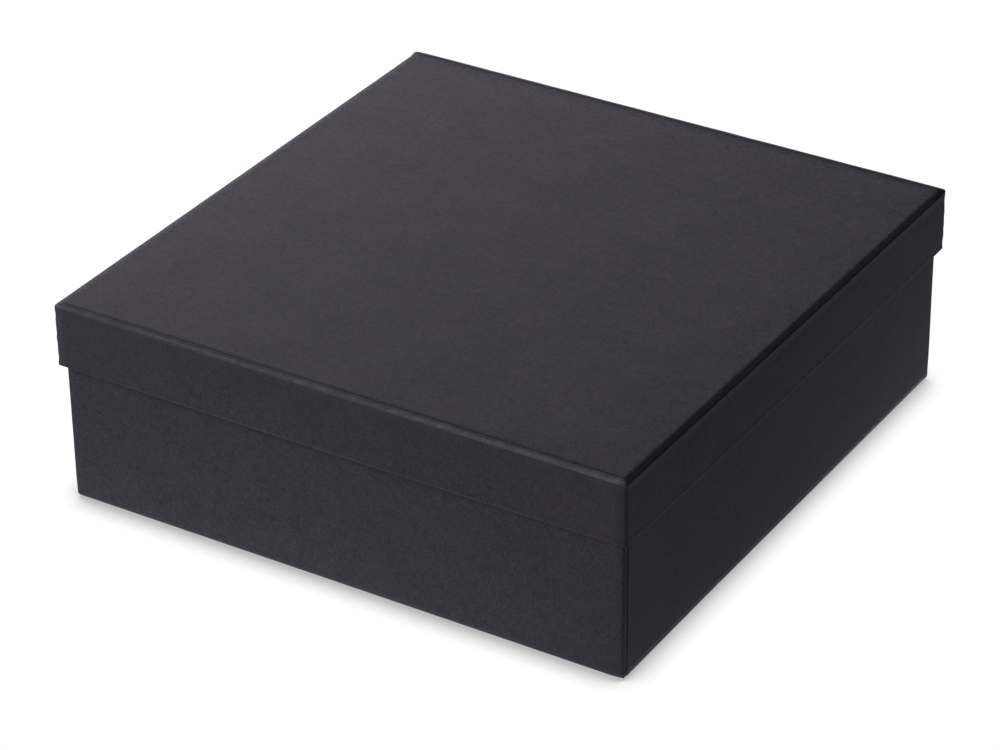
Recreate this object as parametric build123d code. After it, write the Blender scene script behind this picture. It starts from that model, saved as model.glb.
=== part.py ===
from build123d import *
from math import sqrt
import os

# A rigid set-up gift box: a shallow base, nearly square, and a lift-off lid.
# Each half is one sheet of greyboard, lined on its inner side, half-cut along four score lines and
# folded up into a tray, with paper stays taped round its four upright corners. The half-cut opens
# as the board folds, so the folds are bevelled outside.
# The lid's cover paper is one sheet over its top and walls, turned in over its lower edge.
# The base's is a strip round its walls, turned in over the rim and turned under the floor, where a
# bottom sheet covers its edge.
#
# Millimetres, +Z up. The origin is the centre of the underside. The front wall faces -Y.

# Outside size of the base, over its cover paper
base_width = 300.0            # along X
base_depth = 306.0            # along Y
inside_height = 101.2         # from the floor's lining to the base's rim
lid_height = 32.7             # from the lid's lower edge to its top

# Sheet thicknesses
board = 2.0                   # greyboard
cover_paper = 0.15            # black cover paper
lining_paper = 0.12           # black paper laminated to the board's inner side
stay_paper = 0.15             # kraft tape of the corner stays
bottom_paper = 0.15           # sheet under the base

# How far the cover paper is turned over an edge
base_turn_in = 22.0           # down the inside of the base, from its rim
lid_turn_in = 18.0            # up the inside of the lid, from its lower edge
base_turn_under = 15.0        # under the base's floor, from its side
bottom_margin = 3.0           # from the base's side to the edge of the bottom sheet

# Seam of the base's strip, on its right-hand wall
seam_from_corner = 5.0        # from the front wall's face
seam_gap = 0.3                # between the strip's two ends

# Folds and corners of the board
fold_bevel = 2.1              # leg of the bevel that the half-cut board shows outside its folds
corner_radius = 0.85          # outer radius of the upright corners, where two walls butt
corner_gap = 0.3              # slit left between the walls that butt at a corner

# Corner stays
stay_leg = 12.0               # width of the tape on each wall
stay_end_gap = 1.5            # from the fold and from the rim to the ends of the tape

# Fit of the lid on the base
lid_play = 0.4                # clearance per side between the base and the lid's turn-in
lid_rest_gap = 0.1            # paper is never quite flat, so the lid's lining clears the rim by this

# Sizes that follow
wall = cover_paper + board + lining_paper         # also the thickness of a floor
rim_wall = wall + cover_paper                     # at the rim, where the cover paper turns in
base_height = wall + inside_height                # without the bottom sheet
lid_width = base_width + 2 * (lid_play + rim_wall)
lid_depth = base_depth + 2 * (lid_play + rim_wall)
base_rim = bottom_paper + base_height
lid_top = base_rim + lid_rest_gap + wall

corners = {
    "front_left": (-1, -1),
    "front_right": (1, -1),
    "back_left": (-1, 1),
    "back_right": (1, 1),
}


def block(width, depth, bottom, top):
    """A plain upright block, centred on the Z axis."""
    return Pos(0, 0, bottom) * Box(width, depth, top - bottom, align=(Align.CENTER, Align.CENTER, Align.MIN))


def folded_block(inset, width, depth, top):
    """The outer shape of a tray, moved in by inset: bevelled along its bottom folds, round at its corners."""
    plain = block(width - 2 * inset, depth - 2 * inset, inset, top)
    bevel = fold_bevel + (cover_paper - inset) * (2 - sqrt(2))
    corner = cover_paper + corner_radius - inset
    upright = fillet(plain.edges().filter_by(Axis.Z), corner)
    bevelled = chamfer(plain.edges().group_by(Axis.Z)[0], bevel)
    return upright & bevelled


def corner_slits(width, depth, height):
    """The slits between the side walls' ends and the front and back walls."""
    reach = board + lining_paper
    floor = cover_paper + board
    slit = Box(reach, corner_gap, height - floor, align=(Align.CENTER, Align.CENTER, Align.MIN))
    at_x = width / 2 - cover_paper - board - lining_paper + reach / 2
    at_y = depth / 2 - cover_paper - board - corner_gap / 2
    return [Pos(x_side * at_x, y_side * at_y, floor) * slit for x_side, y_side in corners.values()]


def corner_stays(width, depth, height):
    """Four L-shaped tapes, pressed flush into the outside of the board at its upright corners."""
    rim = height - cover_paper
    skin = folded_block(cover_paper, width, depth, rim)
    skin -= folded_block(cover_paper + stay_paper, width, depth, rim)
    bottom = cover_paper + fold_bevel + stay_end_gap
    top = rim - stay_end_gap
    side = 2 * (cover_paper + stay_leg)
    reach = Box(side, side, top - bottom, align=(Align.CENTER, Align.CENTER, Align.MIN))
    return {
        place: skin & (Pos(x_side * width / 2, y_side * depth / 2, bottom) * reach)
        for place, (x_side, y_side) in corners.items()
    }


def blank(width, depth, height, stays):
    """The folded greyboard: a floor and four walls, open at the four corner slits."""
    rim = height - cover_paper
    inset = 2 * (cover_paper + board)
    shape = folded_block(cover_paper, width, depth, rim)
    shape -= block(width - inset, depth - inset, cover_paper + board, rim)
    for slit in corner_slits(width, depth, height):
        shape -= slit
    for stay in stays.values():
        shape -= stay
    return shape


def liner(width, depth, height):
    """The lining paper on the inner side of the floor and walls, cut and folded with the board."""
    rim = height - cover_paper
    inset = 2 * (cover_paper + board)
    shape = block(width - inset, depth - inset, cover_paper + board, rim)
    shape -= block(width - 2 * wall, depth - 2 * wall, wall, rim)
    for slit in corner_slits(width, depth, height):
        shape -= slit
    return shape


def wrap(width, depth, height, turn_in):
    """A whole sheet of cover paper: floor, four walls, over the rim and down the inside by turn_in."""
    rim = height - cover_paper
    skin = folded_block(0, width, depth, height)
    skin -= folded_block(cover_paper, width, depth, rim)
    skin -= block(width - 2 * rim_wall, depth - 2 * rim_wall, rim, height)
    lip = block(width - 2 * wall, depth - 2 * wall, height - turn_in, rim)
    lip -= block(width - 2 * rim_wall, depth - 2 * rim_wall, height - turn_in, rim)
    return skin + lip


def strip(width, depth, height, turn_in):
    """A strip of cover paper round the walls: turned under the floor, and with one open seam."""
    shape = wrap(width, depth, height, turn_in)
    shape -= block(width - 2 * base_turn_under, depth - 2 * base_turn_under, 0, cover_paper)
    seam = Box(base_turn_under, seam_gap, height, align=(Align.MAX, Align.CENTER, Align.MIN))
    return shape - Pos(width / 2, seam_from_corner - depth / 2, 0) * seam


def tray(name, width, depth, height):
    """The pieces that both halves have, standing open side up on the floor."""
    stays = corner_stays(width, depth, height)
    pieces = {f"{name}_corner_stay_{place}": stay for place, stay in stays.items()}
    pieces[f"{name}_blank"] = blank(width, depth, height, stays)
    pieces[f"{name}_liner"] = liner(width, depth, height)
    return pieces


nodes = {}

base = tray("base", base_width, base_depth, base_height)
base["base_wrap"] = strip(base_width, base_depth, base_height, base_turn_in)
for node, shape in base.items():
    nodes[node] = Pos(0, 0, bottom_paper) * shape
nodes["base_bottom_sheet"] = block(
    base_width - 2 * bottom_margin, base_depth - 2 * bottom_margin, 0, bottom_paper
)

lid = tray("lid", lid_width, lid_depth, lid_height)
lid["lid_wrap"] = wrap(lid_width, lid_depth, lid_height, lid_turn_in)
for node, shape in lid.items():
    nodes[node] = Pos(0, 0, lid_top) * mirror(shape, about=Plane.XY)

os.makedirs("parts", exist_ok=True)
for node, shape in nodes.items():
    export_step(shape, f"parts/{node}.step")
print("base", base_width, base_depth, "rim at", round(base_rim, 2))
print("lid", round(lid_width, 2), round(lid_depth, 2), "top at", round(lid_top, 2))
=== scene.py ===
import bpy
import bmesh
import math
from mathutils import Matrix, Vector


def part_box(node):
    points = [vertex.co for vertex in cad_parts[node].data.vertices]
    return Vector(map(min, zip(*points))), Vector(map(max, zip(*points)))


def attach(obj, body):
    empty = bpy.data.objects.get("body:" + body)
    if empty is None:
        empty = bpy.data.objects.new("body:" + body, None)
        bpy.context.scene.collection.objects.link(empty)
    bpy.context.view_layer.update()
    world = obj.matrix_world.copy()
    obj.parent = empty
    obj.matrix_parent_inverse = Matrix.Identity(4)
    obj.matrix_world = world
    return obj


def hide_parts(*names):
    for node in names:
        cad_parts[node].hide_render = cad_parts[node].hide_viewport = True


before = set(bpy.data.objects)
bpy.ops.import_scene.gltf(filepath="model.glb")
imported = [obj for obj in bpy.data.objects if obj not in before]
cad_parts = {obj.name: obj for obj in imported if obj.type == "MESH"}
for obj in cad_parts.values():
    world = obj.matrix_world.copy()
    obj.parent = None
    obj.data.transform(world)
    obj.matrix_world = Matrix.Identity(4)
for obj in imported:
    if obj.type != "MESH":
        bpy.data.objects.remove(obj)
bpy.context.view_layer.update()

# Metres, +Z up. The front wall faces -Y, and the wall with the base's paper seam faces +X.
mm = 0.001
weldGap = 0.02 * mm      # vertices nearer than this are taken as one


def deselectAll():
    if bpy.context.object and bpy.context.object.mode != "OBJECT":
        bpy.ops.object.mode_set(mode="OBJECT")
    bpy.ops.object.select_all(action="DESELECT")


def pick(obj, kind, test):
    # selects the vertices, edges or faces that pass the test, in edit mode
    bpy.ops.mesh.select_mode(type=kind)
    bpy.ops.mesh.select_all(action="DESELECT")
    mesh = bmesh.from_edit_mesh(obj.data)
    mesh.normal_update()
    for part in {"VERT": mesh.verts, "EDGE": mesh.edges, "FACE": mesh.faces}[kind]:
        if test(part):
            part.select = True
    mesh.select_flush_mode()
    bmesh.update_edit_mesh(obj.data)


def startLoop(name, halfWidth, halfDepth, height, sheet):
    # a closed edge loop with rounded corners, divided along its sides, ready to be extruded
    deselectAll()
    bpy.ops.mesh.primitive_plane_add(size=2, location=(0, 0, height))
    obj = bpy.context.object
    obj.name = name
    obj.scale = (halfWidth, halfDepth, 1)
    bpy.ops.object.transform_apply(location=True, rotation=True, scale=True)
    bpy.ops.object.mode_set(mode="EDIT")
    bpy.ops.mesh.select_all(action="SELECT")
    radius, steps = sheet["cornerRadius"], sheet["cornerSteps"]
    bpy.ops.mesh.bevel(offset=radius, segments=steps, affect="VERTICES", profile=0.5)
    longest = 2 * halfWidth - 3 * radius
    pick(obj, "EDGE", lambda edge: edge.calc_length() > longest)
    bpy.ops.mesh.subdivide(number_cuts=sheet["sideCuts"])
    bpy.ops.mesh.select_all(action="SELECT")
    bpy.ops.mesh.delete(type="ONLY_FACE")
    bpy.ops.mesh.select_all(action="SELECT")
    return obj


def drawUp(obj, halfWidth, halfDepth, outline):
    # extrudes the selected loop along an outline of (inset, height) points and leaves the last loop selected
    inset, height = outline[0]
    for nextInset, nextHeight in outline[1:]:
        bpy.ops.mesh.extrude_edges_move(TRANSFORM_OT_translate={"value": (0, 0, nextHeight - height)})
        across = (halfWidth - nextInset) / (halfWidth - inset)
        along = (halfDepth - nextInset) / (halfDepth - inset)
        bpy.ops.transform.resize(value=(across, along, 1), center_override=(0, 0, 0))
        inset, height = nextInset, nextHeight


def arc(inset, height, radius, start, end, steps):
    # points round a centre: 0 degrees is outwards and 90 is up
    turn = [math.radians(start + (end - start) * step / steps) for step in range(steps + 1)]
    return [(inset - radius * math.cos(angle), height + radius * math.sin(angle)) for angle in turn]


def rows(inset, low, high, gap):
    # evenly spaced points up a wall, both ends left out
    count = max(1, round(abs(high - low) / gap))
    return [(inset, low + (high - low) * step / count) for step in range(1, count)]


def cutAlong(obj, axis, places):
    # bisects the whole mesh across one axis at each place
    normal = [0, 0, 0]
    normal[axis] = 1
    for place in places:
        point = [0, 0, 0]
        point[axis] = place
        bpy.ops.mesh.select_all(action="SELECT")
        bpy.ops.mesh.bisect(plane_co=point, plane_no=normal, threshold=weldGap)


def weigh(obj, name, weight):
    # a vertex group whose weight is worked out from each vertex's place
    group = obj.vertex_groups.new(name=name)
    for vert in obj.data.vertices:
        amount = weight(vert.co)
        if amount > 0:
            group.add([vert.index], min(amount, 1), "REPLACE")


def mask(obj, name, value):
    # a point attribute that a material reads
    layer = obj.data.attributes.new(name=name, type="FLOAT", domain="POINT")
    for vert in obj.data.vertices:
        layer.data[vert.index].value = max(0, min(1, value(vert.co)))


def ramp(value, low, high):
    # 0 below low, 1 above high, smooth between
    share = max(0, min(1, (value - low) / (high - low)))
    return share * share * (3 - 2 * share)


def wave(obj, name, size, height, group, direction="NORMAL", midLevel=0.0, depth=1):
    # pushes a surface in and out by soft noise, and applies it
    texture = bpy.data.textures.new(name, "CLOUDS")
    texture.noise_scale = size
    texture.noise_depth = depth
    texture.intensity = 1
    ripple = obj.modifiers.new(name, "DISPLACE")
    ripple.texture = texture
    ripple.texture_coords = "LOCAL"
    ripple.direction = direction
    ripple.mid_level = midLevel
    ripple.strength = height
    ripple.vertex_group = group
    bpy.ops.object.modifier_apply(modifier=name)
    bpy.data.textures.remove(texture)


def push(obj, name, height, group, direction="NORMAL"):
    # moves a vertex group by up to one height, and applies it
    lift = obj.modifiers.new(name, "DISPLACE")
    lift.direction = direction
    lift.mid_level = 0
    lift.strength = height
    lift.vertex_group = group
    bpy.ops.object.modifier_apply(modifier=name)


def thicken(obj, thickness):
    solid = obj.modifiers.new("thickness", "SOLIDIFY")
    solid.thickness = thickness
    solid.offset = -1
    bpy.ops.object.modifier_apply(modifier="thickness")


def finishPiece(obj, material, body, slotName, *nodes):
    bpy.ops.object.mode_set(mode="OBJECT")
    bpy.ops.object.shade_smooth_by_angle(angle=math.radians(40))
    obj.data.materials.clear()
    obj.data.materials.append(material)
    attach(obj, body)
    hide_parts(*nodes)
    deselectAll()
    print("made", obj.name, len(obj.data.polygons), "faces")


def newGroup(name, inputs, outputs):
    group = bpy.data.node_groups.new(name, "ShaderNodeTree")
    for title, kind, value in inputs:
        socket = group.interface.new_socket(name=title, in_out="INPUT", socket_type=kind)
        if value is not None:
            socket.default_value = value
    for title, kind in outputs:
        group.interface.new_socket(name=title, in_out="OUTPUT", socket_type=kind)
    group.nodes.new("NodeGroupInput").name = "in"
    group.nodes.new("NodeGroupOutput").name = "out"
    return group


def addNode(tree, kind, **settings):
    node = tree.nodes.new(kind)
    for key, value in settings.items():
        if key == "inputs":
            for socket, amount in value.items():
                node.inputs[socket].default_value = amount
        else:
            setattr(node, key, value)
    return node


def math2(tree, operation, first, second, clamp=False):
    node = addNode(tree, "ShaderNodeMath", operation=operation, use_clamp=clamp)
    for socket, value in ((0, first), (1, second)):
        if isinstance(value, (int, float)):
            node.inputs[socket].default_value = value
        else:
            tree.links.new(value, node.inputs[socket])
    return node.outputs[0]


def noiseAt(tree, coords, scale, detail, rough, stretch=None, turn=None):
    # a noise around 0.5, with its coordinates squeezed for long fibres
    if stretch:
        mapping = addNode(tree, "ShaderNodeMapping", inputs={"Scale": stretch, "Rotation": turn or (0, 0, 0)})
        tree.links.new(coords, mapping.inputs["Vector"])
        coords = mapping.outputs["Vector"]
    noise = addNode(tree, "ShaderNodeTexNoise", inputs={"Detail": detail, "Roughness": rough})
    if isinstance(scale, (int, float)):
        noise.inputs["Scale"].default_value = scale
    else:
        tree.links.new(scale, noise.inputs["Scale"])
    tree.links.new(coords, noise.inputs["Vector"])
    return noise.outputs["Fac"]


fibreSizes = {                 # noise scales, larger is finer
    "cloud": 45,
    "mottle": 260,
    "grain": 1250,
    "fibre": 1500,
}


def buildFibreGroup():
    # matted paper fibres: a soft cloudiness, a mottle, a fine grain and crossed fibres
    inputs = [("Vector", "NodeSocketVector", None)]
    inputs += [(title, "NodeSocketFloat", 0.5) for title in ("Cloud", "Mottle", "Grain", "Fibre")]
    outputs = [("Tone", "NodeSocketFloat"), ("Height", "NodeSocketFloat")]
    group = newGroup("matted fibres", inputs, outputs)
    start, end = group.nodes["in"], group.nodes["out"]
    coords = start.outputs["Vector"]
    layers = {
        "Cloud": noiseAt(group, coords, fibreSizes["cloud"], 2, 0.5),
        "Mottle": noiseAt(group, coords, fibreSizes["mottle"], 3, 0.7),
        "Grain": noiseAt(group, coords, fibreSizes["grain"], 2, 0.7),
    }
    # fibres lying three ways, as squeezes and turns of the same fine noise
    lays = [((0.2, 1, 1), (0.3, 0.2, 0.5)), ((1, 0.2, 1), (0.1, 0.4, -0.4)), ((1, 1, 0.2), (0.5, -0.3, 0.2))]
    streaks = [noiseAt(group, coords, fibreSizes["fibre"], 1, 0.5, squeeze, turn) for squeeze, turn in lays]
    matted = math2(group, "ADD", math2(group, "ADD", streaks[0], streaks[1]), streaks[2])
    layers["Fibre"] = math2(group, "MULTIPLY", matted, 1 / 3)
    tone = None
    for title, layer in layers.items():
        part = math2(group, "MULTIPLY", math2(group, "SUBTRACT", layer, 0.5), start.outputs[title])
        tone = part if tone is None else math2(group, "ADD", tone, part)
    group.links.new(math2(group, "ADD", tone, 0.5, clamp=True), end.inputs["Tone"])
    fibreHeight = math2(group, "MULTIPLY", layers["Fibre"], 0.8)
    height = math2(group, "ADD", fibreHeight, math2(group, "MULTIPLY", layers["Grain"], 0.9))
    height = math2(group, "ADD", height, math2(group, "MULTIPLY", layers["Mottle"], 0.5))
    group.links.new(height, end.inputs["Height"])
    return group


def buildWearAndHighlightGroup():
    # where handling has rubbed a fold, and where painted highlight and reflection lie along the folds: a mask
    # broken up by noise
    inputs = [("Vector", "NodeSocketVector", None), ("Fold", "NodeSocketFloat", 0.0)]
    inputs += [("Patchiness", "NodeSocketFloat", 0.6)]
    group = newGroup("worn and highlit folds", inputs, [("Mask", "NodeSocketFloat")])
    start, end = group.nodes["in"], group.nodes["out"]
    patches = noiseAt(group, start.outputs["Vector"], 160, 4, 0.6)
    broken = math2(group, "MULTIPLY", math2(group, "SUBTRACT", patches, 0.45), 4, clamp=True)
    share = math2(group, "SUBTRACT", 1, start.outputs["Patchiness"])
    amount = math2(group, "ADD", share, math2(group, "MULTIPLY", broken, start.outputs["Patchiness"]))
    group.links.new(math2(group, "MULTIPLY", start.outputs["Fold"], amount, clamp=True), end.inputs["Mask"])
    return group


fibreGroup = buildFibreGroup()
wearAndHighlightGroup = buildWearAndHighlightGroup()


def newMaterial(name):
    material = bpy.data.materials.new(name)
    material.use_nodes = True
    tree = material.node_tree
    tree.nodes.clear()
    surface = addNode(tree, "ShaderNodeBsdfPrincipled")
    output = addNode(tree, "ShaderNodeOutputMaterial")
    tree.links.new(surface.outputs["BSDF"], output.inputs["Surface"])
    return material, tree, surface


def blendColours(tree, factor, dark, light):
    mix = addNode(tree, "ShaderNodeMix", data_type="RGBA")
    tree.links.new(factor, mix.inputs["Factor"])
    for socket, colour in ((mix.inputs[6], dark), (mix.inputs[7], light)):
        if isinstance(colour, tuple):
            socket.default_value = (*colour, 1)
        else:
            tree.links.new(colour, socket)
    return mix.outputs[2]


roughnessSpread = 0.12


def paperMaterial(name, look):
    material, tree, surface = newMaterial(name)
    coords = addNode(tree, "ShaderNodeTexCoord").outputs["Object"]
    fibres = addNode(tree, "ShaderNodeGroup", node_tree=fibreGroup)
    for socket in ("Cloud", "Mottle", "Grain", "Fibre"):
        fibres.inputs[socket].default_value = look[socket.lower()]
    tree.links.new(coords, fibres.inputs["Vector"])
    dark = tuple(channel * (1 - look["contrast"]) for channel in look["colour"])
    light = tuple(channel * (1 + look["contrast"]) for channel in look["colour"])
    tone = fibres.outputs["Tone"]
    if "pressed" in look:
        # the tooth of the paper shows less where it was pressed round the walls
        pressed = addNode(tree, "ShaderNodeAttribute", attribute_name="pressed").outputs["Fac"]
        keep = math2(tree, "SUBTRACT", 1, math2(tree, "MULTIPLY", pressed, look["pressed"]))
        tone = math2(tree, "ADD", math2(tree, "MULTIPLY", math2(tree, "SUBTRACT", tone, 0.5), keep), 0.5)
    colour = blendColours(tree, tone, dark, light)
    unevenness = math2(tree, "MULTIPLY", fibres.outputs["Tone"], roughnessSpread)
    roughness = math2(tree, "ADD", unevenness, look["roughness"] - roughnessSpread / 2)
    if "wornAndHighlit" in look:
        fold = addNode(tree, "ShaderNodeAttribute", attribute_name="fold")
        wearAndHighlightNode = addNode(tree, "ShaderNodeGroup", node_tree=wearAndHighlightGroup, inputs={"Patchiness": look["patchiness"]})
        tree.links.new(coords, wearAndHighlightNode.inputs["Vector"])
        tree.links.new(fold.outputs["Fac"], wearAndHighlightNode.inputs["Fold"])
        # lighter where the folds are rubbed; the same mask paints the highlight on the lid's front fold,
        # bevel and lower edge and the reflection along the base's right foot
        strength = math2(tree, "MULTIPLY", wearAndHighlightNode.outputs["Mask"], look["wearAndHighlightStrength"])
        colour = blendColours(tree, strength, colour, look["wornAndHighlit"])
        # darker with painted shade in creases, gaps and corners, and along the dark joints of the base's seam
        # and mitres
        crease = addNode(tree, "ShaderNodeAttribute", attribute_name="crease")
        shade = math2(tree, "MULTIPLY", crease.outputs["Fac"], look["shadeAndJointStrength"])
        colour = blendColours(tree, shade, colour, look["shadeAndJointDark"])
        shine = math2(tree, "MULTIPLY", wearAndHighlightNode.outputs["Mask"], look["polish"])
        roughness = math2(tree, "SUBTRACT", roughness, shine)
    tree.links.new(colour, surface.inputs["Base Color"])
    tree.links.new(roughness, surface.inputs["Roughness"])
    surface.inputs["IOR"].default_value = look["ior"]
    surface.inputs["Specular IOR Level"].default_value = look["specular"]
    surface.inputs["Sheen Weight"].default_value = look["sheen"]
    surface.inputs["Sheen Roughness"].default_value = look["sheenRoughness"]
    bump = addNode(tree, "ShaderNodeBump", inputs={"Strength": look["bump"], "Distance": look["bumpDepth"]})
    tree.links.new(fibres.outputs["Height"], bump.inputs["Height"])
    tree.links.new(bump.outputs["Normal"], surface.inputs["Normal"])
    return material


coverLook = {
    "colour": (0.0440, 0.0408, 0.0514), "contrast": 0.8,
    "cloud": 0.3, "mottle": 0.6, "grain": 1.5, "fibre": 1.2,
    # the light colour is both wear on the folds and painted highlight and reflection
    "wornAndHighlit": (0.200, 0.196, 0.210), "wearAndHighlightStrength": 0.9, "patchiness": 0.5, "polish": 0.4,
    "pressed": 0.42,
    # the dark colour is painted shade, and the dark joints of the base's seam and mitres
    "shadeAndJointDark": (0.010, 0.010, 0.012), "shadeAndJointStrength": 0.6,
    "roughness": 0.92, "ior": 1.45, "specular": 0.15, "sheen": 0.02, "sheenRoughness": 0.5,
    "bump": 0.10, "bumpDepth": 0.00009,
}
liningLook = dict(coverLook, colour=(0.033, 0.031, 0.038), contrast=0.7, wearAndHighlightStrength=0.1, roughness=0.85)
bottomLook = dict(liningLook, colour=(0.033, 0.031, 0.037), mottle=1.0, wearAndHighlightStrength=0.35)
kraftLook = {
    "colour": (0.42, 0.28, 0.16), "contrast": 0.5,
    "cloud": 0.4, "mottle": 0.7, "grain": 0.8, "fibre": 1.4,
    "roughness": 0.7, "ior": 1.45, "specular": 0.4, "sheen": 0.03, "sheenRoughness": 0.5,
    "bump": 0.5, "bumpDepth": 0.00005,
}
boardLook = {
    "colour": (0.34, 0.32, 0.29), "contrast": 0.5,
    "cloud": 0.5, "mottle": 1.2, "grain": 1.2, "fibre": 0.9,
    "roughness": 0.92, "ior": 1.45, "specular": 0.3, "sheen": 0.02, "sheenRoughness": 0.5,
    "bump": 0.8, "bumpDepth": 0.00012,
}

coverPaper = paperMaterial("black cover paper", coverLook)
liningPaper = paperMaterial("black lining paper", liningLook)
bottomPaper = paperMaterial("black bottom sheet", bottomLook)
kraftTape = paperMaterial("kraft stay tape", kraftLook)
greyBoard = paperMaterial("grey board", boardLook)
print("materials ready")


sheet = {
    "thickness": 0.144 * mm,      # a little under the CAD paper's 0.15, so it never meets the board
    "cornerRadius": 0.85 * mm,
    "cornerSteps": 6,
    "sideCuts": 59,
}


def edgeInset(co, half):
    # how far a point lies inside the nearer pair of walls
    return min(half.x - abs(co.x), half.y - abs(co.y))


def cornerDistance(co, half):
    # how far a point lies from the nearest upright corner
    return math.hypot(half.x - abs(co.x), half.y - abs(co.y))


def cornerNear(co, half, near, far):
    # 1 up to the near distance from the nearest upright corner, 0 past the far one
    return 1 - ramp(cornerDistance(co, half), near, far)


def seamCorner(co):
    # the quarter of the box round its front right corner, which the base's seam lies beside
    return co.x > 0 > co.y


def fillPanel(obj, half):
    # closes the last loop with one face and divides it into a grid that meets the walls' columns
    bpy.ops.mesh.edge_face_add()
    spacing = {0: 2 * half.x / (sheet["sideCuts"] + 1), 1: 2 * half.y / (sheet["sideCuts"] + 1)}
    outermost = (sheet["sideCuts"] + 1) // 2 - 2      # the columns by the corners stop at the wall
    level = next(face for face in bmesh.from_edit_mesh(obj.data).faces if face.select).calc_center_median().z

    def onPanel(face):
        middle = face.calc_center_median()
        return abs(middle.z - level) < 0.01 * mm and edgeInset(middle, half) > 2 * mm

    for axis in (0, 1):
        normal = Vector((axis == 0, axis == 1, 0))
        for step in range(-outermost, outermost + 1):
            pick(obj, "FACE", onPanel)
            bpy.ops.mesh.bisect(plane_co=normal * spacing[axis] * step, plane_no=normal, threshold=weldGap)
    bpy.ops.mesh.select_all(action="SELECT")
    bpy.ops.mesh.remove_doubles(threshold=weldGap)


def faceOutwards(obj, seen):
    # makes the normals agree, and turns them all where the given test face looks the wrong way
    bpy.ops.mesh.select_all(action="SELECT")
    bpy.ops.mesh.normals_make_consistent(inside=False)
    mesh = bmesh.from_edit_mesh(obj.data)
    mesh.normal_update()
    wrong = sum(1 for face in mesh.faces if seen(face) < -0.5)
    right = sum(1 for face in mesh.faces if seen(face) > 0.5)
    if wrong > right:
        bpy.ops.mesh.flip_normals()


lidShape = {
    "edgeRadius": 0.5 * mm,       # where the paper goes round the board's lower edge
    "edgeFlare": 0.22 * mm,       # how far that edge stands out from the wall
    "rowGap": 1.6 * mm,
    "panelRise": 0.16 * mm,       # the top panel above the board
    "crestOut": 0.3 * mm,         # how far the fold's crest stands out from the wall
    "crestDown": 1.3 * mm,
    "crestRadius": 0.6 * mm,
    "creaseInset": 2.4 * mm,
    "skirtBow": 0.55 * mm,        # how far the lower edge stands out midway along a wall
    "turnIn": 18 * mm,
    "wall": 2.42 * mm,            # from the cover's outer face to the turn-in's inner face
    "seam": 0.6 * mm,             # from the front and back walls to the side flaps' cut edges
    "seamCuts": [away * mm for away in (0, 0.12, 0.6, 0.9, 1.6)],
    "flapStep": 0.14 * mm,
    "skin": 0.6 * mm,             # what lies this near the outside is on a wall
    "bowCurve": 2.6,              # higher keeps the bow flatter, with its turn nearer the corners
    "cornerBlunt": 0.25 * mm,     # how far the crest is pressed in at the corners
    "backFoldLift": 0.8 * mm,     # how much fuller the back fold stands
    "wallWaves": (45 * mm, 0.3 * mm),         # each wave's length and height
    "panelWaves": (80 * mm, 0.3 * mm),
    "crestWaves": (12 * mm, 0.2 * mm),
    "raggedEdges": (4 * mm, 1.1 * mm),
}

# wear on the lid's folds and corners, painted highlight on its front fold, bevel and lower edge, and painted
# shade in its creases and gaps
lidWearAndPaintedLight = {
    "frontLeft": 0.35,            # the front fold's wear and painted highlight at its left end, as a share of the right end's
    # a painted highlight along the front bevel
    "bevel": 0.5,
    "back": 0.2,
    "uprights": 0.15,
    # a painted highlight along the lower edge
    "lowerEdgeHighlight": 0.07,
    "rightCreaseShade": 0.3,           # how dark the painted shade is along the creases, beside the side flaps and at the corner by the base's seam
    "flapGapShade": 0.6,
    "seamCorner": 0.45,
}


def lidOutline(low, top, shape):
    # from the turned-in end, round the lower edge, up the wall and over the fold to the top panel
    edge, wall, flare = shape["edgeRadius"], shape["wall"], shape["edgeFlare"]
    outline = [(wall, low + shape["turnIn"])]
    outline += rows(wall, low + shape["turnIn"], low + edge, 4 * mm)
    outline += arc(wall - edge, low + edge, edge, 180, 270, 5)
    outline += arc(edge - flare, low + edge, edge, 270, 360, 5)
    for share, up in ((0.95, 1.1), (0.6, 2.0), (0.2, 3.2)):
        outline.append((-flare * share, low + up * mm))
    crest = top - shape["crestDown"]
    outline += rows(0, low + 3.2 * mm, crest - 2.2 * mm, shape["rowGap"])
    for share, down in ((0.06, 1.9), (0.4, 1.2), (0.85, 0.55)):
        outline.append((-shape["crestOut"] * share, crest - down * mm))
    # the crest's arc runs into the bevel, which rises straight to the crease
    crease, rise, radius = shape["creaseInset"], shape["panelRise"], shape["crestRadius"]
    across, down = crease + shape["crestOut"] - radius, shape["crestDown"]
    slope = math.atan2(down, across) - math.asin(radius / math.hypot(across, down))
    bend = arc(radius - shape["crestOut"], crest, radius, 0, 90 - math.degrees(slope), 7)
    outline += bend
    foot, footHeight = bend[-1]
    for share in (0.35, 0.7, 0.92):
        outline.append((foot + (crease - foot) * share, footHeight + (top - footHeight) * share))
    outline += [(crease, top - 0.01 * mm), (crease + 0.25 * mm, top), (crease + 0.5 * mm, top + rise * 0.7)]
    outline += [(crease + 0.8 * mm, top + rise), (crease + 2.5 * mm, top + rise)]
    return outline


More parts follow.
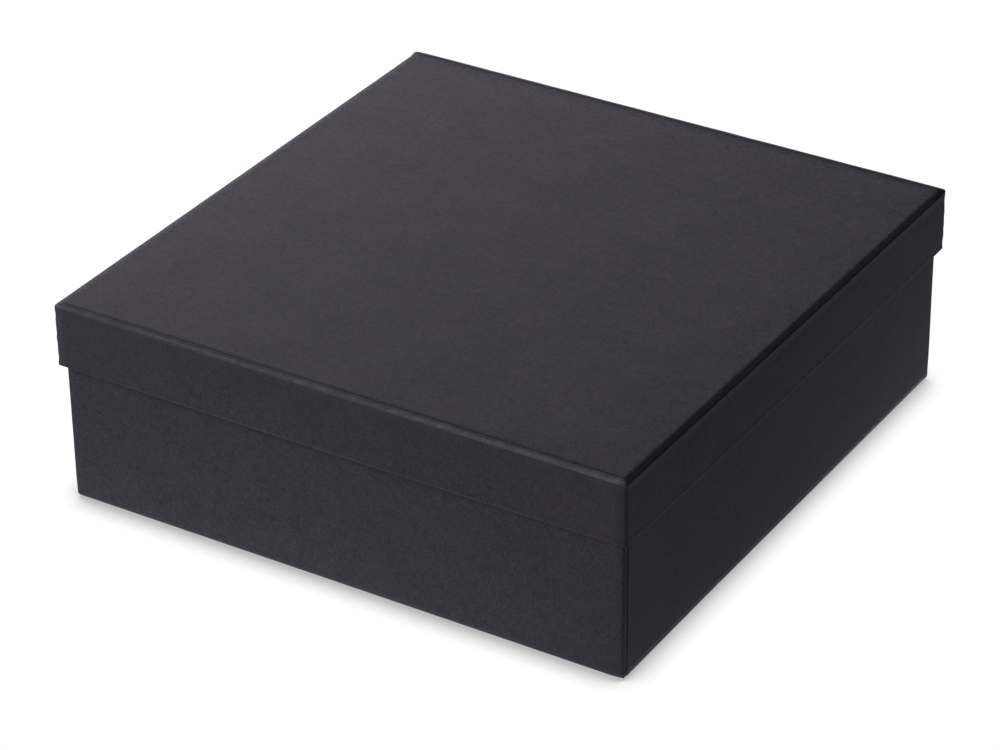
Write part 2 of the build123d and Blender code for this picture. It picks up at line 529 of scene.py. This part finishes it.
def bendLidCover(obj, low, half):
    shape = lidShape
    top, crest, seam = half.z, half.z - shape["crestDown"], half.y - shape["seam"]
    onWall = lambda co: edgeInset(co, half) < shape["skin"]
    onSide = lambda co: half.x - abs(co.x) < shape["skin"]
    # the walls and the top panel are never quite flat
    awayFromEdges = lambda co: ramp(co.z, low.z + 2 * mm, low.z + 8 * mm) * ramp(crest - co.z, 4 * mm, 8 * mm)
    weigh(obj, "walls", lambda co: onWall(co) * awayFromEdges(co))
    wave(obj, "wallWaves", *shape["wallWaves"], "walls")
    # the walls bow out along their lower edge
    curve = shape["bowCurve"]
    bow = lambda co: (1 - abs(co.x / half.x) ** curve) + (1 - abs(co.y / half.y) ** curve)
    weigh(obj, "skirt", lambda co: bow(co) * onWall(co) * ramp(crest - co.z, 0, 32 * mm))
    push(obj, "skirtBow", shape["skirtBow"], "skirt")
    weigh(obj, "panel", lambda co: (co.z > top + 0.1 * mm) * ramp(edgeInset(co, half), 3 * mm, 20 * mm))
    wave(obj, "panelWaves", *shape["panelWaves"], "panel", "Z")
    weigh(obj, "crestLine", lambda co: (abs(co.z - crest) < 2.2 * mm) * onWall(co))
    wave(obj, "crestWaves", *shape["crestWaves"], "crestLine", midLevel=0.3, depth=2)
    # the side flaps lie over the ears of the front and back flaps
    upTo = lambda co: ramp(top - co.z, 0.4 * mm, 2.2 * mm)
    onFlap = lambda co: (abs(co.y) < seam - 0.05 * mm) * onSide(co) * upTo(co)
    weigh(obj, "sideFlaps", lambda co: onFlap(co) * ramp(co.z, low.z, low.z + 1 * mm))
    push(obj, "sideFlapStep", shape["flapStep"], "sideFlaps")
    onFlapEdge = lambda co: (abs(abs(co.y) - seam + 0.06 * mm) < 0.09 * mm) * onSide(co)
    weigh(obj, "flapEdges", lambda co: onFlapEdge(co) * upTo(co))
    wave(obj, "raggedEdges", *shape["raggedEdges"], "flapEdges", "Y", midLevel=0.5, depth=2)
    # the crest is blunted at the corners, and the back fold stands a little fuller
    onCrest = lambda co: 1 - ramp(abs(co.z - crest), 0.6 * mm, 1.5 * mm)
    weigh(obj, "corners", lambda co: cornerNear(co, half, 0.3 * mm, 1.6 * mm) * onCrest(co))
    push(obj, "cornerBlunt", -shape["cornerBlunt"], "corners")
    nearBack = lambda co: ramp(co.y, half.y - 4 * mm, half.y - 2 * mm)
    weigh(obj, "backFold", lambda co: nearBack(co) * ramp(co.z, crest - 3 * mm, crest))
    push(obj, "backFoldLift", shape["backFoldLift"], "backFold", "Z")


def paintLidWearAndLight(obj, low, half):
    shape = lidShape
    top, crest, seam = half.z, half.z - shape["crestDown"], half.y - shape["seam"]
    onWall = lambda co: edgeInset(co, half) < shape["skin"]
    onSide = lambda co: half.x - abs(co.x) < shape["skin"]
    onFront = lambda co: half.y + co.y < half.x - abs(co.x)
    onRight = lambda co: half.x - co.x < half.y - abs(co.y)
    mask(obj, "pressed", onWall)
    # worn and given a painted highlight along the front fold and its bevel, more towards its right end; worn
    # a little at the back and not at the sides
    onCrest = lambda co, reach: 1 - ramp(abs(co.z - crest), reach * 0.4, reach)
    towardsRight = lambda co: ramp(co.x, -half.x, half.x * 1.2)
    inBevel = lambda co: co.z > crest + 0.2 * mm and edgeInset(co, half) < shape["creaseInset"] - 0.15 * mm
    justAbove = Vector((0, 0, 0.45 * mm))

    # the front fold's wear and painted highlight, and wear along the back fold
    def foldWearAndHighlight(co):
        if onFront(co):
            onBevel = lidWearAndPaintedLight["bevel"] * inBevel(co)
            along = lidWearAndPaintedLight["frontLeft"] + (1 - lidWearAndPaintedLight["frontLeft"]) * towardsRight(co)
            return max(onBevel, onCrest(co - justAbove, 0.7 * mm)) * along
        return onCrest(co, 0.8 * mm) * (0 if abs(co.x) > half.x - shape["creaseInset"] else lidWearAndPaintedLight["back"])

    # a painted highlight along the lower edge, and wear at the upright corners
    lowerEdgeHighlight = lambda co: (1 - ramp(co.z - low.z, 0.2 * mm, 0.9 * mm)) * onWall(co)
    upright = lambda co: cornerNear(co, half, 0.9 * mm, 1.8 * mm) * (not seamCorner(co))
    mask(obj, "fold", lambda co: foldWearAndHighlight(co) * (co.z > low.z + 10 * mm) + lidWearAndPaintedLight["uprights"] * upright(co)
         + lidWearAndPaintedLight["lowerEdgeHighlight"] * lowerEdgeHighlight(co))
    # painted shade along the creases, beside the side flaps and at the corner by the base's seam
    creaseAt = lambda co: shape["creaseInset"] + (0.65 * mm if onFront(co) else 0.15 * mm)
    onCrease = lambda co: 1 - ramp(abs(edgeInset(co, half) - creaseAt(co)), 0.1 * mm, 0.35 * mm)
    creaseShadeStrength = lambda co: (lidWearAndPaintedLight["rightCreaseShade"] if onRight(co) else 1) * (co.z > top - 0.1 * mm)
    creaseEnds = lambda co: ramp(cornerDistance(co, half), 5 * mm, 9 * mm)
    besideFlap = lambda co: onSide(co) and abs(co.y) - seam > -0.7 * mm
    flapGapShade = lambda co: lidWearAndPaintedLight["flapGapShade"] * besideFlap(co) * (co.z < top - 1 * mm)
    cornerShade = lambda co: lidWearAndPaintedLight["seamCorner"] * seamCorner(co) * (co.z < crest)
    softCorner = lambda co: cornerShade(co) * cornerNear(co, half, 0.8 * mm, 1.1 * mm)
    mask(obj, "crease", lambda co: onCrease(co) * creaseShadeStrength(co) * creaseEnds(co)
         + max(flapGapShade(co), softCorner(co)))


def makeLidCover():
    low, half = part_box("lid_wrap")
    outline = lidOutline(low.z, half.z, lidShape)
    inset, height = outline[0]
    obj = startLoop("lid_cover", half.x - inset, half.y - inset, height, sheet)
    drawUp(obj, half.x, half.y, outline)
    fillPanel(obj, half)
    faceOutwards(obj, lambda face: face.normal.z * (face.calc_center_median().z > half.z))
    # close cuts beside each corner, where the side flap's edge is stuck down over the ear
    seam = half.y - lidShape["seam"]
    cutAlong(obj, 1, [side * (seam - away) for side in (-1, 1) for away in lidShape["seamCuts"]])
    bpy.ops.object.mode_set(mode="OBJECT")
    bendLidCover(obj, low, half)
    paintLidWearAndLight(obj, low, half)
    thicken(obj, sheet["thickness"])
    finishPiece(obj, coverPaper, "lid", "cover_paper", "lid_wrap")


stripShape = {
    "edgeRadius": 0.5 * mm,       # where the paper goes round the rim
    "rowGap": 2.2 * mm,
    "foldRadius": 2.1 * mm,       # along the floor's folds
    "turnIn": 22 * mm,
    "turnUnder": 15 * mm,
    "wall": 2.42 * mm,
    "seam": 4.1 * mm,             # from the front wall to the strip's lapped end, at the rim
    "seamSlant": 0.6 * mm,        # how much nearer the corner it is at the bottom
    "seamLift": 0.3 * mm,         # how far the lapped end stands up
    "underLift": 0.1 * mm,        # the layer under it, between the seam and the corner
    "rightFoldOut": 0.5 * mm,     # how far the right fold is pushed out, most at the front
    "frontFoldIn": 0.2 * mm,
    "frontCornerUp": 0.45 * mm,
    "seamCuts": [away * mm for away in (-0.9, -0.45, 0, 0.1, 0.6, 1.4, 2.6)],
    "wallWaves": (60 * mm, 0.32 * mm),        # each wave's length and height
    "lapWander": (30 * mm, 0.7 * mm),
}

stripWearAndPaintedLight = {
    "rightFootReflection": 1,               # a painted reflection of the floor along the floor's fold on the right, and wear on the other three sides
    "foot": 0.08,
    "rim": 0.15,
    "uprights": 0.15,
    "besideSeamShade": 0.35,           # how dark the painted shade between the seam and the corner is, and the mitres' dark joints
    "mitre": 0.6,
}


def stripOutline(low, rim, shape):
    # from the turned-in end, up over the rim, down the wall and under the floor
    edge, wall, fold = shape["edgeRadius"], shape["wall"], shape["foldRadius"]
    outline = [(wall, rim - shape["turnIn"])]
    outline += rows(wall, rim - shape["turnIn"], rim - edge, 5 * mm)
    outline += arc(wall - edge, rim - edge, edge, 180, 90, 5)
    outline += arc(edge, rim - edge, edge, 90, 0, 5)
    outline += rows(0, rim - edge, low + fold, shape["rowGap"])
    outline += arc(fold, low + fold, fold, 0, -90, 9)
    outline += [(6 * mm, low), (shape["turnUnder"], low)]
    return outline


def bendBaseStrip(obj, low, half):
    shape = stripShape
    rim, seam = half.z, shape["seam"] - half.y
    onWall = lambda co: edgeInset(co, half) < 0.3 * mm
    onSeamWall = lambda co: co.x > half.x - 0.6 * mm
    down = lambda co: ramp(rim - co.z, 0, 1 * mm) * ramp(co.z, low.z + 0.4 * mm, low.z + 1.6 * mm)
    awayFromEdges = lambda co: ramp(co.z, low.z + 2 * mm, low.z + 14 * mm) * ramp(rim - co.z, 2 * mm, 14 * mm)
    weigh(obj, "walls", lambda co: onWall(co) * awayFromEdges(co))
    wave(obj, "wallWaves", *shape["wallWaves"], "walls")
    # the lapped end: its cut edge stands up, and the layer below shows again as a soft step further on
    lapStep = lambda away: (away > 0.05 * mm) * (0.45 + 0.55 * (1 - ramp(away, 0.1 * mm, 3 * mm)))
    lapEnd = lambda away: 1 - ramp(away, 14 * mm, 18 * mm)
    weigh(obj, "lap", lambda co: onSeamWall(co) * down(co) * lapStep(co.y - seam) * lapEnd(co.y - seam))
    push(obj, "lapLift", shape["seamLift"], "lap", "X")
    between = lambda co: ramp(seam - co.y, 0.3 * mm, 1.2 * mm) * ramp(co.y + half.y, 0.5 * mm, 1.5 * mm)
    weigh(obj, "under", lambda co: onSeamWall(co) * down(co) * between(co))
    push(obj, "underLift", shape["underLift"], "under", "X")
    nearSeam = lambda co: onSeamWall(co) * (abs(co.y - seam) < 3 * mm)
    weigh(obj, "lapEdge", nearSeam)
    wave(obj, "lapWander", *shape["lapWander"], "lapEdge", "Y", midLevel=0.5, depth=2)
    weigh(obj, "lapSlant", lambda co: nearSeam(co) * (rim - co.z) / (rim - low.z))
    push(obj, "slant", -shape["seamSlant"], "lapSlant", "Y")
    # the right fold is pushed out towards the front, and the front fold is pressed in
    onFold = lambda co: 1 - ramp(co.z, low.z + 1.2 * mm, low.z + 4 * mm)
    weigh(obj, "rightFold", lambda co: ramp(co.x, half.x - 3 * mm, half.x - 1 * mm) * onFold(co)
          * (0.25 + 0.75 * ramp(-co.y, half.y - 90 * mm, half.y)))
    push(obj, "rightFoldOut", shape["rightFoldOut"], "rightFold", "X")
    nearFront = lambda co: ramp(-co.y, half.y - 1.8 * mm, half.y - 0.9 * mm)
    weigh(obj, "frontFold", lambda co: nearFront(co) * (1 - ramp(co.z, 1 * mm, 2.2 * mm)))
    push(obj, "frontFoldIn", -shape["frontFoldIn"], "frontFold")
    weigh(obj, "frontCorner", lambda co: seamCorner(co) * cornerNear(co, half, 1 * mm, 5 * mm) * onFold(co))
    push(obj, "frontCornerUp", shape["frontCornerUp"], "frontCorner", "Z")


def paintStripWearAndLight(obj, low, half):
    rim, seam = half.z, stripShape["seam"] - half.y
    onWall = lambda co: edgeInset(co, half) < 0.3 * mm
    onSeamWall = lambda co: co.x > half.x - 0.6 * mm
    mask(obj, "pressed", lambda co: 1)
    # rubbed at the upright corners, the rim and the floor's folds, with a painted reflection along the right
    # fold
    upright = lambda co: cornerNear(co, half, 0.4 * mm, 1.0 * mm) * (not seamCorner(co))
    rimWear = lambda co: stripWearAndPaintedLight["rim"] * (1 - ramp(abs(co.z - rim), 0.1 * mm, 0.5 * mm)) * onWall(co)
    atFoot = lambda co: 1 - ramp(co.z, low.z + 1.7 * mm, low.z + 2.9 * mm)
    footWearAndReflection = lambda co: stripWearAndPaintedLight["rightFootReflection" if co.x > half.x - 3 * mm else "foot"] * atFoot(co)
    mask(obj, "fold", lambda co: stripWearAndPaintedLight["uprights"] * upright(co) + rimWear(co) + footWearAndReflection(co))
    # dark along the seam's cut edge with painted shade in its gap, painted shade between the seam and the
    # corner, and dark joints in the turn-ins' mitres
    seamAt = lambda co: seam - stripShape["seamSlant"] * (rim - co.z) / (rim - low.z)
    onSeam = lambda co: 1 - ramp(abs(co.y - seamAt(co) + 0.25 * mm), 0.3 * mm, 0.65 * mm)
    beside = lambda co: stripWearAndPaintedLight["besideSeamShade"] * (-half.y - 0.5 * mm < co.y < seamAt(co) - 0.3 * mm)
    mitreMiss = lambda co: abs((half.x - abs(co.x)) - (half.y - abs(co.y)))
    onMitre = lambda co: (mitreMiss(co) < 0.4 * mm) * (edgeInset(co, half) > 0.3 * mm)
    mask(obj, "crease", lambda co: onSeamWall(co) * max(onSeam(co), beside(co))
         + stripWearAndPaintedLight["mitre"] * onMitre(co))


def makeBaseStrip():
    low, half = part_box("base_wrap")
    outline = stripOutline(low.z, half.z, stripShape)
    inset, height = outline[0]
    obj = startLoop("base_strip", half.x - inset, half.y - inset, height, sheet)
    drawUp(obj, half.x, half.y, outline)
    faceOutwards(obj, lambda face: face.normal.x * (face.calc_center_median().x > half.x - 0.1 * mm))
    # close cuts along the seam, so that the lapped end can stand up
    seam = stripShape["seam"] - half.y
    cutAlong(obj, 1, [seam + away for away in stripShape["seamCuts"]])
    bpy.ops.object.mode_set(mode="OBJECT")
    bendBaseStrip(obj, low, half)
    paintStripWearAndLight(obj, low, half)
    thicken(obj, sheet["thickness"])
    finishPiece(obj, coverPaper, "base", "cover_paper", "base_wrap")


liningShape = {
    "thickness": 0.115 * mm,
    "paper": 0.12 * mm,
    "crease": 0.8 * mm,           # radius where the lining turns from floor to wall
    "rowGap": 6 * mm,
    "edgeGap": 0.4 * mm,          # from the rim to the lining's edge, under the turn-in
    "cornerRadius": 0.35 * mm,
    "waveLength": 90 * mm,
    "warp": 0.25 * mm,
}


def makeLining(node, name, body, openUp):
    # the lining of a tray: walls, a creased turn and the floor, which is the ceiling in the lid
    low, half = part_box(node)
    shape, way = liningShape, 1 if openUp else -1
    mouth, floor = (half.z, low.z) if openUp else (low.z, half.z)
    mouth, floor = mouth - way * shape["edgeGap"], floor + way * shape["paper"]
    wall, crease = shape["paper"], shape["crease"]
    outline = [(wall, mouth)] + rows(wall, mouth, floor + way * crease, shape["rowGap"])
    for inset, drop in arc(wall + crease, 0, crease, 0, 90, 5):
        outline.append((inset, floor + way * (crease - drop)))
    outline += [(wall + 5 * mm, floor)]
    inset, height = outline[0]
    corners = dict(sheet, cornerRadius=shape["cornerRadius"])
    obj = startLoop(name, half.x - inset, half.y - inset, height, corners)
    drawUp(obj, half.x, half.y, outline)
    fillPanel(obj, half)
    onFloor = lambda co: abs(co.z - floor) < 0.01 * mm
    faceOutwards(obj, lambda face: way * face.normal.z * onFloor(face.calc_center_median()))
    bpy.ops.object.mode_set(mode="OBJECT")
    weigh(obj, "panel", lambda co: onFloor(co) * ramp(edgeInset(co, half), 4 * mm, 25 * mm))
    wave(obj, "panelWaves", shape["waveLength"], way * shape["warp"], "panel", "Z")
    # painted shade in the lining's corners and along its turn from floor to wall
    inCorner = lambda co: 1 - ramp(cornerDistance(co, half), 0.3 * mm, 0.7 * mm)
    inTurn = lambda co: 1 - ramp(abs(edgeInset(co, half) - wall - 0.3 * mm), 0.1 * mm, 0.4 * mm)
    mask(obj, "crease", lambda co: 0.8 * inCorner(co) + 0.5 * inTurn(co) * (abs(co.z - floor) < crease))
    mask(obj, "fold", lambda co: 0)
    thicken(obj, shape["thickness"])
    finishPiece(obj, liningPaper, body, "lining_paper", node)


bottomShape = {
    "cornerRadius": 2.5 * mm,
    "thickness": 0.14 * mm,
    "cuts": 24,
    "waveLength": 25 * mm,
    "warp": 0.02 * mm,
    "rubbedWidth": 8 * mm,        # how far in from its edges the sheet is worn
}


def makeBottomSheet():
    low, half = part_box("base_bottom_sheet")
    shape = bottomShape
    deselectAll()
    bpy.ops.mesh.primitive_plane_add(size=2, location=(0, 0, low.z))
    obj = bpy.context.object
    obj.name = "bottom_sheet"
    obj.scale = (half.x, half.y, 1)
    bpy.ops.object.transform_apply(location=True, rotation=True, scale=True)
    bpy.ops.object.mode_set(mode="EDIT")
    bpy.ops.mesh.select_all(action="SELECT")
    bpy.ops.mesh.bevel(offset=shape["cornerRadius"], segments=5, affect="VERTICES", profile=0.5)
    gap = 2 * half.x / shape["cuts"]
    for axis in (0, 1):
        cutAlong(obj, axis, [gap * step - half.x for step in range(1, shape["cuts"])])
    faceOutwards(obj, lambda face: -face.normal.z)
    bpy.ops.object.mode_set(mode="OBJECT")
    weigh(obj, "sheet", lambda co: 1)
    wave(obj, "sheetWaves", shape["waveLength"], shape["warp"], "sheet", "Z")
    mask(obj, "crease", lambda co: 0)
    mask(obj, "fold", lambda co: 0.7 * (1 - ramp(edgeInset(co, half), 0, shape["rubbedWidth"])))
    thicken(obj, shape["thickness"])
    finishPiece(obj, bottomPaper, "base", "bottom_paper", "base_bottom_sheet")


makeLidCover()
makeBaseStrip()
makeLining("base_liner", "base_lining", "base", openUp=True)
makeLining("lid_liner", "lid_lining", "lid", openUp=False)
makeBottomSheet()


cameraView = {
    "azimuth": 31.85,
    "elevation": 30.605,
    "roll": -0.641,
    "lens": 136.83,
    "distance": 5.431,                       # in lid widths
    "aim": (0.2531, -0.4435, 0.4148),        # in lid widths
}


def makeCamera(view):
    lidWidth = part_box("lid_wrap")[1].x * 2
    data = bpy.data.cameras.new("camera")
    data.lens = view["lens"]
    data.sensor_width = 36
    camera = bpy.data.objects.new("camera", data)
    bpy.context.scene.collection.objects.link(camera)
    turn = Matrix.Rotation(math.radians(view["azimuth"]), 4, "Z")
    turn = turn @ Matrix.Rotation(math.radians(90 - view["elevation"]), 4, "X")
    turn = turn @ Matrix.Rotation(math.radians(view["roll"]), 4, "Z")
    back = turn @ Vector((0, 0, 1))
    place = (Vector(view["aim"]) + back * view["distance"]) * lidWidth
    camera.matrix_world = Matrix.Translation(place) @ turn
    bpy.context.scene.camera = camera


softboxes = {
    "leftSoftbox": {
        "place": (-1.05, 0.75, 0.53), "aim": (0, 0, 0.1), "size": (1.0, 0.3),
        "power": 25, "colour": (1, 0.975, 1.02),
    },
    "frontSoftbox": {
        "place": (-1.15, -0.6, 0.62), "aim": (0, 0, 0.05), "size": (0.6, 0.2),
        "power": 12, "colour": (1, 1, 1),
    },
}


def makeSoftbox(name, light):
    data = bpy.data.lights.new(name, "AREA")
    data.shape = "RECTANGLE"
    data.size, data.size_y = light["size"]
    data.energy = light["power"]
    data.color = light["colour"]
    lamp = bpy.data.objects.new(name, data)
    bpy.context.scene.collection.objects.link(lamp)
    lamp.location = light["place"]
    towards = Vector(light["aim"]) - Vector(light["place"])
    lamp.rotation_euler = towards.to_track_quat("-Z", "Y").to_euler()


floorLook = {
    "size": 12,
    "white": 1.04,
    "contactReach": 18 * mm,      # how far the soft shadow beside the box reaches
    "contactDark": 0.55,
    "contactCurve": 1.65,
    "bounce": (1.2, 0.6),         # how bright the floor is to the box, near it and far from it
    "bounceRange": (0.15, 0.5),
    "bounceColour": (0.99, 0.975, 1.03),
    "shadeAt": (0.30, -0.04, 0),  # the middle of the box's own soft shade on the floor
    "shadeReach": 0.24,
    "shadeDark": 0.85,
}


def makeFloor(look):
    deselectAll()
    bpy.ops.mesh.primitive_plane_add(size=look["size"], location=(0, 0, 0))
    floor = bpy.context.object
    floor.name = "floor"
    material = bpy.data.materials.new("pale floor")
    material.use_nodes = True
    tree = material.node_tree
    tree.nodes.clear()
    coords = addNode(tree, "ShaderNodeTexCoord").outputs["Object"]
    # as seen, it is white but for the soft contact shadow
    reach = {"Distance": look["contactReach"]}
    contact = addNode(tree, "ShaderNodeAmbientOcclusion", samples=16, inputs=reach)
    covered = math2(tree, "MULTIPLY", math2(tree, "SUBTRACT", 1, contact.outputs["AO"]), 2, clamp=True)
    dark = math2(tree, "MULTIPLY", math2(tree, "POWER", covered, look["contactCurve"]), look["contactDark"])
    white = math2(tree, "SUBTRACT", look["white"], dark)
    # to the box it is dimmer, more so far away and in the box's own shade
    far = addNode(tree, "ShaderNodeVectorMath", operation="LENGTH")
    tree.links.new(coords, far.inputs[0])
    fall = addNode(tree, "ShaderNodeMapRange", inputs={
        "From Min": look["bounceRange"][0], "From Max": look["bounceRange"][1],
        "To Min": look["bounce"][0], "To Max": look["bounce"][1],
    })
    tree.links.new(far.outputs["Value"], fall.inputs["Value"])
    away = addNode(tree, "ShaderNodeVectorMath", operation="DISTANCE", inputs={1: look["shadeAt"]})
    tree.links.new(coords, away.inputs[0])
    nearness = math2(tree, "MULTIPLY", away.outputs["Value"], 1 / look["shadeReach"])
    shade = math2(tree, "MULTIPLY", math2(tree, "SUBTRACT", 1, nearness, clamp=True), look["shadeDark"])
    dim = math2(tree, "MULTIPLY", fall.outputs["Result"], math2(tree, "SUBTRACT", 1, shade))
    seen = addNode(tree, "ShaderNodeLightPath").outputs["Is Camera Ray"]
    level = addNode(tree, "ShaderNodeMix", data_type="FLOAT")
    tree.links.new(seen, level.inputs["Factor"])
    tree.links.new(dim, level.inputs[2])
    tree.links.new(white, level.inputs[3])
    glow = addNode(tree, "ShaderNodeEmission")
    tree.links.new(blendColours(tree, seen, look["bounceColour"], (1, 1, 1)), glow.inputs["Color"])
    tree.links.new(level.outputs[0], glow.inputs["Strength"])
    output = addNode(tree, "ShaderNodeOutputMaterial")
    tree.links.new(glow.outputs["Emission"], output.inputs["Surface"])
    floor.data.materials.append(material)


skyLook = {
    "toBox": 0.035,               # dim as the box sees it
    "behindBox": 1.0,             # and white where it is seen behind the box
}


def makeSky(look):
    scene = bpy.context.scene
    if scene.world is None:
        scene.world = bpy.data.worlds.new("studio")
    scene.world.use_nodes = True
    tree = scene.world.node_tree
    backdrop = tree.nodes["Background"]
    backdrop.inputs["Color"].default_value = (1, 1, 1, 1)
    seen = addNode(tree, "ShaderNodeLightPath").outputs["Is Camera Ray"]
    ends = {"To Min": look["toBox"], "To Max": look["behindBox"]}
    level = addNode(tree, "ShaderNodeMapRange", inputs=ends)
    tree.links.new(seen, level.inputs["Value"])
    tree.links.new(level.outputs["Result"], backdrop.inputs["Strength"])


def dressBoards():
    # the two boards and their corner stays are used as they come
    for node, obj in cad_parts.items():
        if node.endswith("_blank") or "_stay_" in node:
            obj.data.materials.clear()
            obj.data.materials.append(greyBoard if node.endswith("_blank") else kraftTape)


dressBoards()
print("boards and stays have their materials")
makeCamera(cameraView)
makeFloor(floorLook)
for name, light in softboxes.items():
    makeSoftbox(name, light)
makeSky(skyLook)
bpy.context.scene.view_settings.view_transform = "Standard"
bpy.context.scene.view_settings.look = "None"
print("camera, floor, lights and sky ready")
